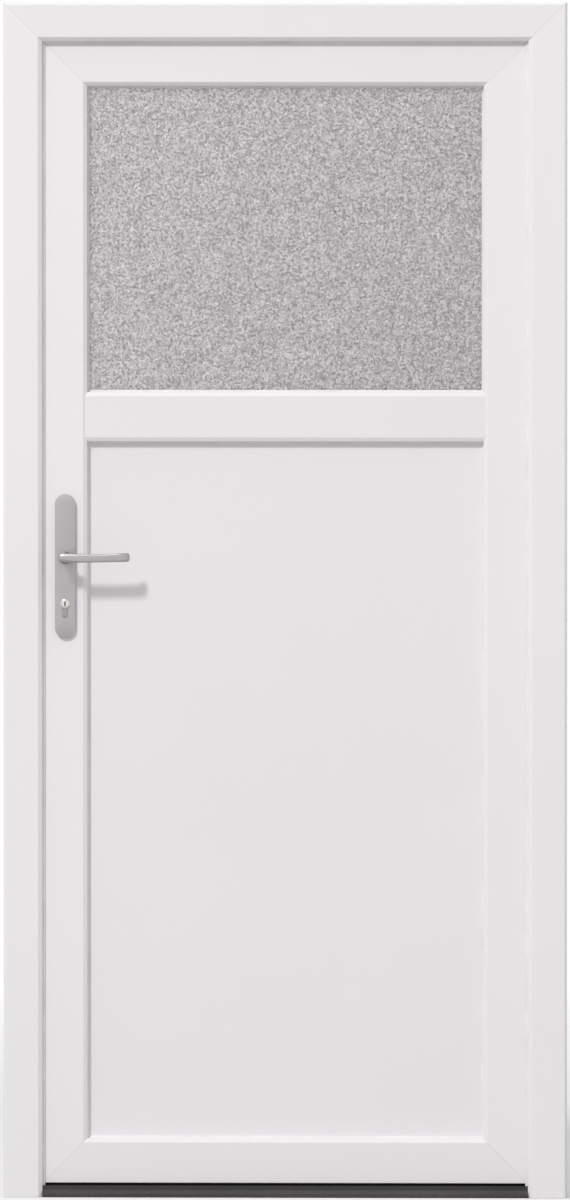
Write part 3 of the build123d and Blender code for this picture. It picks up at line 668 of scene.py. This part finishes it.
def build_lock():
    """The lock cylinder: a lobe through the leaf and, at each end, a round nose with plug and keyway."""
    keyway = bpy.context.scene.side_door_handle.keyway
    work = bmesh.new()
    half = (CYLINDER_HIGH.y - CYLINDER_LOW.y) / 2
    middle = shift(((CYLINDER_LOW.x + CYLINDER_HIGH.x) / 2, (CYLINDER_LOW.y + CYLINDER_HIGH.y) / 2,
                    CYLINDER_HIGH.z - NOSE_RADIUS))
    drop = CYLINDER_HIGH.z - CYLINDER_LOW.z - NOSE_RADIUS
    for turn in (OUTSIDE, INSIDE):
        shell = bmesh.new()
        for radius in (NOSE_RADIUS, PLUG_RADIUS + PLUG_GAP):
            bmesh.ops.create_circle(shell, radius=radius, segments=56)
        pull_out(shell, SHELL_LENGTH, SHELL_RIM)
        bmesh.ops.translate(shell, verts=shell.verts, vec=(0, 0, half - SHELL_LENGTH))
        plug = bmesh.new()
        bmesh.ops.create_circle(plug, radius=PLUG_RADIUS, segments=48)
        obround(plug, keyway, KEYWAY_HEIGHT, 16)
        pull_out(plug, PLUG_LENGTH, PLUG_RIM, 2)
        bmesh.ops.translate(plug, verts=plug.verts, vec=(0, 0, half - PLUG_LENGTH))
        for part in (shell, plug):
            bmesh.ops.transform(part, matrix=middle @ turn, verts=part.verts)
            absorb(work, part)
    bmesh.ops.create_cone(work, cap_ends=True, segments=40, radius1=CORE_RADIUS, radius2=CORE_RADIUS,
                          depth=2 * (half - SHELL_LENGTH + CORE_OVERLAP), matrix=middle @ OUTSIDE)
    lobe = bmesh.new()
    length = drop - LOBE_TOP
    obround(lobe, 2 * LOBE_RADIUS, length, 32)
    pull_out(lobe, 2 * (half - LOBE_SUNK), LOBE_RIM, 2)
    bmesh.ops.translate(lobe, verts=lobe.verts, vec=(0, length / 2 - drop, LOBE_SUNK - half))
    bmesh.ops.transform(lobe, matrix=middle @ OUTSIDE, verts=lobe.verts)
    for face in lobe.faces:
        face.material_index = 1
    absorb(work, lobe)
    finish_piece(work, "lock_barrel", ["nickel_lock", "satin_lobe"], "leaf",
                 ["lock_cylinder"])


# Levers. Angles are in degrees. Fullness is 2 for an oval and grows as the sides turn flat.

BACK_END, BACK_ROUND, BACK_SLANT = -0.0107, 0.0062, 0.35
BACK_START = 4  # keeps the first ring from closing to a point
BACK_FULLNESS, ROOT_FULLNESS, FLAT_FULLNESS, BEND_FULLNESS, TIP_FULLNESS = 2.3, 2.7, 6.5, 3.2, 2.2
REACH_PAST_NODE = 0.0028
TAPER_RATE, TAPER_CURVE, FLAT_RATE = 1.35, 1.3, 2.2
SWELL, SWELL_FROM = 0.0006, 0.7
BOW, BOW_SLOPE, BOW_THINNING, TIP_RISE = 0.0011, 0.03, 0.04, 0.0004
BEND_RADIUS, BEND_ANGLE, BEND_THICKNESS, BEND_SHARE = 0.0095, 80, 0.97, 0.95
TIP_ROUND, TIP_ANGLE = 0.0042, 88
BACK_RINGS, GRIP_RINGS, BEND_RINGS, TIP_RINGS = 6, 20, 7, 6
NECK_DEPTH, NECK_FULLNESS = 0.92, 2.2
COLLAR = ((0.0, 0.0086, 0.01, 0.01), (0.0086, 0.0104, 0.01, 0.0088))  # ends, and the radii there


def grip_stations(sizes, out, reach):
    """The rings of a grip: a blunt end over the neck, a bowed length and a tip turned to the door."""
    tall, waist, thick = sizes.root_height / 2, sizes.waist_height / 2, sizes.thickness / 2
    lift, tip = sizes.grip_lift, waist + SWELL
    stations = []
    for index in range(BACK_RINGS + 1):
        turn = math.radians(BACK_START + (90 - BACK_START) * index / BACK_RINGS)
        share = math.sin(turn)
        place = Vector((BACK_END + BACK_ROUND * (1 - math.cos(turn)),
                        -out + thick * BACK_SLANT * (1 - share), lift))
        stations.append((place, Vector((1, 0, 0)), tall * share, thick * share,
                         BACK_FULLNESS + (ROOT_FULLNESS - BACK_FULLNESS) * share))
    start = BACK_END + BACK_ROUND
    straight = reach - start - BEND_RADIUS - thick * BEND_SHARE
    for index in range(1, GRIP_RINGS + 1):
        share = index / GRIP_RINGS
        bow = math.sin(math.pi * share)
        height = waist + (tall - waist) * max(0.0, 1 - share * TAPER_RATE) ** TAPER_CURVE
        height += SWELL * max(0.0, share - SWELL_FROM) / (1 - SWELL_FROM)
        place = Vector((start + straight * share, -out, lift - BOW * bow + TIP_RISE * share))
        way = Vector((1, 0, -BOW_SLOPE * math.cos(math.pi * share)))
        stations.append((place, way, height, thick * (1 - BOW_THINNING * bow),
                         ROOT_FULLNESS + (FLAT_FULLNESS - ROOT_FULLNESS) * min(1.0, share * FLAT_RATE)))
    for index in range(1, BEND_RINGS + 1):
        turn = math.radians(BEND_ANGLE) * index / BEND_RINGS
        place = Vector((start + straight + BEND_RADIUS * math.sin(turn),
                        -out + BEND_RADIUS * (1 - math.cos(turn)), lift + TIP_RISE))
        stations.append((place, Vector((math.cos(turn), math.sin(turn), 0)), tip, thick * BEND_THICKNESS,
                         FLAT_FULLNESS + (BEND_FULLNESS - FLAT_FULLNESS) * index / BEND_RINGS))
    last, way = stations[-1][:2]
    for index in range(1, TIP_RINGS + 1):
        turn = math.radians(TIP_ANGLE) * index / TIP_RINGS
        share = math.cos(turn)
        stations.append((last + way * TIP_ROUND * math.sin(turn), way, tip * share,
                         thick * BEND_THICKNESS * share,
                         BEND_FULLNESS + (TIP_FULLNESS - BEND_FULLNESS) * index / TIP_RINGS))
    return stations


def build_lever(side):
    """A cast lever: collar, neck and a bowed grip with a flat front and a tip turned to the door."""
    sizes = bpy.context.scene.side_door_handle
    node = "lever_outer" if side == "outside" else "lever_inner"
    low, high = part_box(node)
    root, face = (high.y, low.y) if side == "outside" else (low.y, high.y)
    work = bmesh.new()
    out = abs(face - root) - sizes.thickness / 2
    loft(work, grip_stations(sizes, out, high.x - SPINDLE_X + REACH_PAST_NODE))
    neck = ((0.004, 0.0080), (0.011, 0.0080), (0.02, 0.0074),  # depth from the plate and radius
            (out * 0.7, 0.0072), (out - 0.0045, 0.0076), (out, 0.0062))
    loft(work, [(Vector((0, -depth, sizes.grip_lift * depth / out)), Vector((0, -1, 0)), radius,
                 radius * NECK_DEPTH, NECK_FULLNESS) for depth, radius in neck])
    for start, end, radius, front in COLLAR:
        place = shift((0, -(start + end) / 2, 0))
        bmesh.ops.create_cone(work, cap_ends=True, segments=48, radius1=radius,
                              radius2=front, depth=end - start, matrix=place @ OUTSIDE)
    if side == "inside":
        bmesh.ops.transform(work, matrix=Matrix.Scale(-1, 4, (0, 1, 0)), verts=work.verts)
    bmesh.ops.translate(work, verts=work.verts, vec=(SPINDLE_X, root, SPINDLE_Z))
    name = "outer_grip" if side == "outside" else "inner_grip"
    finish_piece(work, name, ["satin_grip"], "lever", [node])


# Screws and hinge caps

HEAD_HEIGHT, HEAD_SUNK, RECESS_FLOOR = 0.0012, 0.0007, 0.0003
HEAD_RIM, CROSS_ARM, CROSS_WIDTH, FLOOR_SHARE = 0.2, 0.56, 0.13, 0.7  # shares of the head's radius
PLATE_SCREW_INSET, FACEPLATE_SCREW_INSET, STRIKE_SCREW_INSET = 0.017, 0.012, 0.014
LATCH_SCREW_DROP = 0.052
HINGE_LEAF_PLATE, HINGE_LEAF_COLUMNS, HINGE_LEAF_RISE = 0.005, (0.014, 0.044), 0.029
HINGE_FRAME_PLATE, HINGE_FRAME_INSET, HINGE_FRAME_RISE = 0.004, 0.0095, 0.031
CAP_RADIUS, CAP_RIM = 0.0103, 0.0018


def screw(work, place, way, radius):
    """A screw head with a cross recess, a little proud of what it holds, and a dark disc in the recess
    as painted shade.
    """
    part = bmesh.new()
    bmesh.ops.create_circle(part, radius=radius, segments=24)
    recess = bmesh.ops.create_circle(part, radius=1, segments=12,
                                     matrix=Matrix.Rotation(math.radians(15), 4, "Z"))
    arm, narrow = radius * CROSS_ARM, radius * CROSS_WIDTH
    for vert in recess["verts"]:
        across, up = abs(vert.co.x), abs(vert.co.y)
        vert.co.x = math.copysign(arm if across > 1.5 * up else narrow, vert.co.x)
        vert.co.y = math.copysign(arm if up > 1.5 * across else narrow, vert.co.y)
    pull_out(part, HEAD_HEIGHT, radius * HEAD_RIM, 3)
    bmesh.ops.translate(part, verts=part.verts, vec=(0, 0, -HEAD_SUNK))
    # A dark disc at the bottom of the cross is painted shade in the recess
    floor = bmesh.ops.create_cone(part, cap_ends=True, segments=12, radius1=radius * FLOOR_SHARE,
                                  radius2=radius * FLOOR_SHARE, depth=RECESS_FLOOR)
    for face in {face for vert in floor["verts"] for face in vert.link_faces}:
        face.material_index = 1
    turn = Vector(way).to_track_quat("Z", "Y").to_matrix().to_4x4()
    bmesh.ops.transform(part, matrix=shift(place) @ turn, verts=part.verts)
    absorb(work, part)


def build_screws(name, body, places, way, radius):
    """A set of like screws that hold one fitting."""
    work = bmesh.new()
    for place in places:
        screw(work, place, way, radius)
    finish_piece(work, name, ["bright_screw", "keyway_dark"], body)


def build_hinge_caps():
    """Soft-edged caps over the ends of each hinge pin."""
    height = bpy.context.scene.side_door_fixings.cap_height
    work = bmesh.new()
    for place in HINGES:
        low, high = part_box("hinge_" + place + "_frame_part")
        for end, way in ((high.z, 1), (low.z, -1)):
            face = end + way * height
            middle = shift((HINGE_X, HINGE_Y, (end + face) / 2))
            made = bmesh.ops.create_cone(work, cap_ends=True, segments=40, radius1=CAP_RADIUS,
                                         radius2=CAP_RADIUS, depth=height, matrix=middle)
            rim = [edge for edge in edges_of(made)
                   if all(abs(vert.co.z - face) < TOLERANCE for vert in edge.verts)]
            soften(work, rim, CAP_RIM, 4)
    finish_piece(work, "hinge_caps", ["bead_plastic"], "frame")


# Brush strip

BACKING, BACKING_RIM = 0.0012, 0.0002
TUFT_ROOT, TUFT_LIFT, BARE_END = 0.0006, 0.00002, 0.0015
TUFT_RADIUS, TUFT_TIP_RADIUS = 0.0008, 0.00055
TUFT_LEAN, TUFT_SPLAY = 0.12, 0.06  # radians


def build_brush():
    """The brush strip under the leaf: a backing and rows of leaning bristle tufts."""
    sizes = bpy.context.scene.side_door_brush
    low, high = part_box("bottom_seal")
    chance = random.Random(7)
    work = bmesh.new()
    made = bmesh.ops.create_cube(work, size=1)
    bmesh.ops.scale(work, verts=made["verts"], vec=(high.x - low.x, high.y - low.y, BACKING))
    bmesh.ops.translate(work, verts=made["verts"],
                        vec=((low.x + high.x) / 2, (low.y + high.y) / 2, high.z - BACKING / 2))
    soften(work, edges_of(made), BACKING_RIM, 2)
    length = high.z - low.z - BACKING + TUFT_ROOT
    count = int((high.x - low.x - 2 * BARE_END) / sizes.pitch)
    for row in range(sizes.rows):
        depth = low.y + (row + 0.5) * (high.y - low.y) / sizes.rows
        for index in range(count):
            x = low.x + BARE_END + (index + 0.5 * (row % 2) + 0.25) * sizes.pitch
            lean = Matrix.Rotation(chance.uniform(-TUFT_LEAN, TUFT_LEAN), 4, "Y")
            lean @= Matrix.Rotation(chance.uniform(-TUFT_SPLAY, TUFT_SPLAY), 4, "X")
            middle = shift((x, depth, low.z + length / 2 + TUFT_LIFT))
            bmesh.ops.create_cone(work, cap_ends=True, segments=5, radius1=TUFT_RADIUS,
                                  radius2=TUFT_TIP_RADIUS, depth=length, matrix=middle @ lean)
    finish_piece(work, "leaf_brush", ["brush_fibre"], "leaf", ["bottom_seal"])


# Operators

class SIDE_DOOR_OT_profiles(bpy.types.Operator):
    """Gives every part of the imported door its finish"""

    bl_idname = "side_door.profiles"
    bl_label = "Profiles and panes"

    def execute(self, context):
        build_materials()
        for finish, names in NODE_FINISH.items():
            for name in names:
                slots = frame["nodes"][name].material_slots
                if not slots:
                    raise RuntimeError(name + " has no material slot")
                for slot in slots:
                    slot.material = bpy.data.materials[finish]
        missing = set(frame["nodes"]) - {name for names in NODE_FINISH.values() for name in names}
        if missing:
            raise RuntimeError("no finish for " + ", ".join(sorted(missing)))
        return {"FINISHED"}


class SIDE_DOOR_OT_plates(bpy.types.Operator):
    """Makes the two long handle plates"""

    bl_idname = "side_door.plates"
    bl_label = "Handle plates"

    def execute(self, context):
        build_plate("outside")
        build_plate("inside")
        return {"FINISHED"}


class SIDE_DOOR_OT_levers(bpy.types.Operator):
    """Makes the outside and inside levers"""

    bl_idname = "side_door.levers"
    bl_label = "Levers"

    def execute(self, context):
        build_lever("outside")
        build_lever("inside")
        return {"FINISHED"}


class SIDE_DOOR_OT_lock(bpy.types.Operator):
    """Makes the lock cylinder with its plugs and keyways"""

    bl_idname = "side_door.lock"
    bl_label = "Lock cylinder"

    def execute(self, context):
        build_lock()
        return {"FINISHED"}


class SIDE_DOOR_OT_screws(bpy.types.Operator):
    """Makes the screws of the handle, the lock's plates and the hinges"""

    bl_idname = "side_door.screws"
    bl_label = "Screws"

    def execute(self, context):
        sizes = context.scene.side_door_fixings
        radius, face = sizes.plate_screw, INNER_PLATE_HIGH.y
        centre = (INNER_PLATE_LOW.x + INNER_PLATE_HIGH.x) / 2
        ends = (INNER_PLATE_LOW.z + PLATE_SCREW_INSET, INNER_PLATE_HIGH.z - PLATE_SCREW_INSET)
        build_screws("inner_plate_screws", "leaf", [(centre, face, z) for z in ends], (0, 1, 0), radius)
        latch_screw = SPINDLE_Z - LATCH_SCREW_DROP
        low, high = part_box("lock_faceplate")
        middle = (low.y + high.y) / 2
        heights = (low.z + FACEPLATE_SCREW_INSET, latch_screw, high.z - FACEPLATE_SCREW_INSET)
        places = [(low.x, middle, z) for z in heights]
        build_screws("faceplate_screws", "leaf", places, (-1, 0, 0), radius)
        low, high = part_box("strike_plate")
        heights = (latch_screw, high.z - STRIKE_SCREW_INSET)
        places = [(high.x, middle, z) for z in heights]
        build_screws("strike_screws", "frame", places, (1, 0, 0), radius)
        on_leaf, on_frame = [], []
        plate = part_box("leaf_stile_hinge")[1].y + HINGE_LEAF_PLATE
        for place in HINGES:
            low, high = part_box("hinge_" + place + "_leaf_part")
            height = (low.z + high.z) / 2
            on_leaf += [(low.x + out, plate, height + up) for out in HINGE_LEAF_COLUMNS
                        for up in (-HINGE_LEAF_RISE, HINGE_LEAF_RISE)]
            low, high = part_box("hinge_" + place + "_frame_part")
            on_frame += [(high.x - HINGE_FRAME_INSET, low.y + HINGE_FRAME_PLATE, height + up)
                         for up in (-HINGE_FRAME_RISE, 0.0, HINGE_FRAME_RISE)]
        build_screws("hinge_leaf_screws", "leaf", on_leaf, (0, 1, 0), sizes.hinge_screw)
        build_screws("hinge_frame_screws", "frame", on_frame, (0, 1, 0), sizes.hinge_screw)
        return {"FINISHED"}


class SIDE_DOOR_OT_hinge_caps(bpy.types.Operator):
    """Makes the caps over the hinge pins"""

    bl_idname = "side_door.hinge_caps"
    bl_label = "Hinge caps"

    def execute(self, context):
        build_hinge_caps()
        return {"FINISHED"}


class SIDE_DOOR_OT_brush(bpy.types.Operator):
    """Makes the brush strip under the leaf"""

    bl_idname = "side_door.brush"
    bl_label = "Bottom brush"

    def execute(self, context):
        build_brush()
        return {"FINISHED"}


class SIDE_DOOR_OT_stage(bpy.types.Operator):
    """Sets the floor, the lamps, the camera and the pale surroundings"""

    bl_idname = "side_door.stage"
    bl_label = "Stage"

    def execute(self, context):
        stage = context.scene.side_door_stage
        build_floor()
        build_world(stage)
        build_lamps(stage)
        build_camera(stage)
        context.scene.view_settings.view_transform = "Standard"
        return {"FINISHED"}


# Stage

FLOOR_RADIUS, FLOOR_GAP = 7.0, 0.0004
FADE_START, FADE_END = 2.4, 6.6
FLOOR_BOUNCE = 0.62  # share of the floor's colour that lights the door
LIGHT_BELOW, LIGHT_ABOVE = 0.66, 1.36  # shares of the room light
KEY_AZIMUTH, KEY_ELEVATION, KEY_DISTANCE = math.radians(-25.5), math.radians(38.5), 14.0
DOOR_MIDDLE = 1.04
SENSOR_WIDTH = 36  # millimetres
TARGET_X, TARGET_Z = 0.0002, 1.0412


def build_floor():
    """A pale floor that fades out before its edge."""
    work = bmesh.new()
    bmesh.ops.create_circle(work, cap_ends=True, radius=FLOOR_RADIUS, segments=96,
                            matrix=shift((0, 0, cad_box[0][2] - FLOOR_GAP)))
    floor = add_mesh("pale_floor", work)
    nodes, shader = new_material("floor_paint")
    grain = nodes.add("ShaderNodeTexNoise", Vector=nodes.place(), Scale=40.0, Detail=4.0)
    tone = nodes.spread(grain.outputs["Fac"], 0.3, 0.7, 0.985, 1.0)
    to_camera = nodes.add("ShaderNodeLightPath").outputs["Is Camera Ray"]
    tone = nodes.math("MULTIPLY", tone, nodes.spread(to_camera, 0.0, 1.0, FLOOR_BOUNCE, 1.0))
    nodes.link(nodes.tinted((0.86, 0.86, 0.86), tone), shader.inputs["Base Color"])
    settle(shader, Roughness=0.9, Specular_IOR_Level=0.1)
    away = nodes.add("ShaderNodeVectorMath", set_operation="LENGTH")
    nodes.link(nodes.place(), away.inputs[0])
    solid = nodes.spread(away.outputs["Value"], FADE_START, FADE_END, 1.0, 0.0)
    nodes.link(solid, shader.inputs["Alpha"])
    floor.data.materials.append(bpy.data.materials["floor_paint"])


def build_world(stage):
    """White to the camera and in reflections, and a soft room light, stronger from above."""
    world = bpy.data.worlds.new("pale_room")
    world.use_nodes = True
    bpy.context.scene.world = world
    nodes = Nodes(world.node_tree)
    background = world.node_tree.nodes["Background"]
    rays = nodes.add("ShaderNodeLightPath").outputs
    seen = nodes.math("MAXIMUM", rays["Is Camera Ray"], rays["Is Glossy Ray"])
    seen = nodes.math("MAXIMUM", seen, rays["Is Transmission Ray"])
    way = nodes.add("ShaderNodeTexCoord").outputs["Generated"]
    upward = nodes.add("ShaderNodeSeparateXYZ", Vector=way).outputs["Z"]
    below, above = stage.fill_light * LIGHT_BELOW, stage.fill_light * LIGHT_ABOVE
    room = nodes.spread(upward, -0.5, 0.8, below, above)
    nodes.link(nodes.spread(seen, 0.0, 1.0, room, 1.0), background.inputs["Strength"])
    background.inputs["Color"].default_value = (1.0, 1.0, 1.0, 1.0)


def direction(azimuth, elevation):
    """The way from the door to a place right of its front by one angle and up by another."""
    return Vector((math.sin(azimuth) * math.cos(elevation), -math.cos(azimuth) * math.cos(elevation),
                   math.sin(elevation)))


def aim(thing, target):
    """Turns a lamp or camera to look at a point."""
    thing.rotation_euler = (target - thing.location).to_track_quat("-Z", "Y").to_euler()


def build_lamps(stage):
    """A large soft lamp at the upper left."""
    data = bpy.data.lights.new("key_lamp", "AREA")
    data.shape = "DISK"
    data.size = stage.key_size
    data.energy = stage.key_power
    lamp = add_object("key_lamp", data)
    target = Vector((0, 0, DOOR_MIDDLE))
    lamp.location = target + direction(KEY_AZIMUTH, KEY_ELEVATION) * KEY_DISTANCE
    aim(lamp, target)


def build_camera(stage):
    """The photograph's near-flat view, from slightly right and above."""
    data = bpy.data.cameras.new("photo_camera")
    data.sensor_width = SENSOR_WIDTH
    data.lens = SENSOR_WIDTH * stage.distance / stage.view_height
    data.clip_end = 200
    camera = add_object("photo_camera", data)
    target = Vector((TARGET_X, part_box("frame_head")[0].y, TARGET_Z))
    camera.location = target + direction(stage.azimuth, stage.elevation) * stage.distance
    aim(camera, target)
    bpy.context.scene.camera = camera


class SIDE_DOOR_PT_panel(bpy.types.Panel):
    """Lists the door's operators and settings"""

    bl_label = "Side door"
    bl_idname = "SIDE_DOOR_PT_panel"
    bl_space_type = "VIEW_3D"
    bl_region_type = "UI"
    bl_category = "Side door"

    def draw(self, context):
        for operator in OPERATORS:
            self.layout.operator(operator.bl_idname)
        for name in SETTINGS:
            group = getattr(context.scene, name)
            for key in group.__annotations__:
                self.layout.prop(group, key)


SETTINGS = {
    "side_door_finish": SideDoorFinish,
    "side_door_handle": SideDoorHandle,
    "side_door_brush": SideDoorBrush,
    "side_door_fixings": SideDoorFixings,
    "side_door_stage": SideDoorStage,
}
OPERATORS = (
    SIDE_DOOR_OT_profiles,
    SIDE_DOOR_OT_plates,
    SIDE_DOOR_OT_levers,
    SIDE_DOOR_OT_lock,
    SIDE_DOOR_OT_screws,
    SIDE_DOOR_OT_hinge_caps,
    SIDE_DOOR_OT_brush,
    SIDE_DOOR_OT_stage,
)
CLASSES = (*SETTINGS.values(), *OPERATORS, SIDE_DOOR_PT_panel)


def register():
    for kind in CLASSES:
        bpy.utils.register_class(kind)
    for name, kind in SETTINGS.items():
        setattr(bpy.types.Scene, name, PointerProperty(type=kind))


def unregister():
    for name in SETTINGS:
        delattr(bpy.types.Scene, name)
    for kind in reversed(CLASSES):
        bpy.utils.unregister_class(kind)


def main():
    """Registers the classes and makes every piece."""
    register()
    for operator in OPERATORS:
        group, name = operator.bl_idname.split(".")
        getattr(getattr(bpy.ops, group), name)()


if __name__ == "__main__":
    main()
